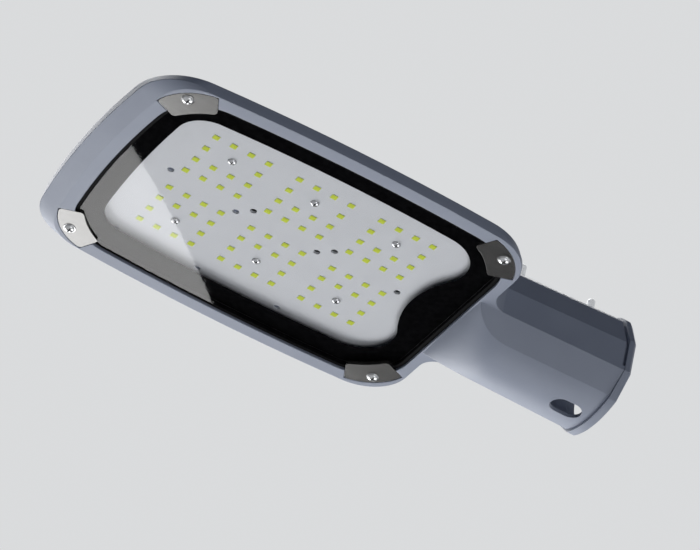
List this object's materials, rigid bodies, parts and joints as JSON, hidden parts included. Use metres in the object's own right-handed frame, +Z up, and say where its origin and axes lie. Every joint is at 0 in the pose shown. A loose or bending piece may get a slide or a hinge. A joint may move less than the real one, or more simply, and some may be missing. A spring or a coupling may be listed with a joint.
{
  "type": "led street light head",
  "caption": "Flat die-cast street light head with a glass window over an LED board, corner clamp plates and a socket that fits over a lighting arm.",
  "frame": {"origin": "centre of the arm socket's mouth, on the bore axis", "axes": "+X along the bore from the mouth towards the head's front tip, +Z up, away from the glass"},
  "size_m": [0.3359, 0.1858, 0.0811],
  "materials": {
    "cast_housing": "grey powder coat, satin",
    "collar": "grey powder coat, satin",
    "glass": "clear toughened glass",
    "border_print": "black ceramic print",
    "gasket_rubber": "black silicone rubber",
    "clamp_plate": "satin plate",
    "bright_steel": "bright stainless steel",
    "white_board": "white solder mask on aluminium",
    "led_package": "white moulded package",
    "led_phosphor": "yellow phosphor layer",
    "driver_case": "white plastic case",
    "terminal_nylon": "natural nylon",
    "lead_sleeve": "silicone sleeved wire"
  },
  "bodies": {
    "root": {"housing": "cast_housing", "socket_collar": "collar", "lens_glass": "glass", "lens_border": "border_print", "lens_gasket": "gasket_rubber", "clamp_front_left": "clamp_plate", "clamp_front_right": "clamp_plate", "clamp_rear_left": "clamp_plate", "clamp_rear_right": "clamp_plate", "clamp_screws": "bright_steel", "led_board": "white_board", "led_packages": "led_package", "led_phosphors": "led_phosphor", "board_screws": "bright_steel", "driver": "driver_case", "driver_screw": "bright_steel", "terminal_block": "terminal_nylon", "terminal_screws": "bright_steel", "earth_screw": "bright_steel", "supply_leads": "lead_sleeve", "board_leads": "lead_sleeve", "cable_grommet": "gasket_rubber", "set_screw_front": "bright_steel", "set_screw_rear": "bright_steel"}
  },
  "joints": []
}
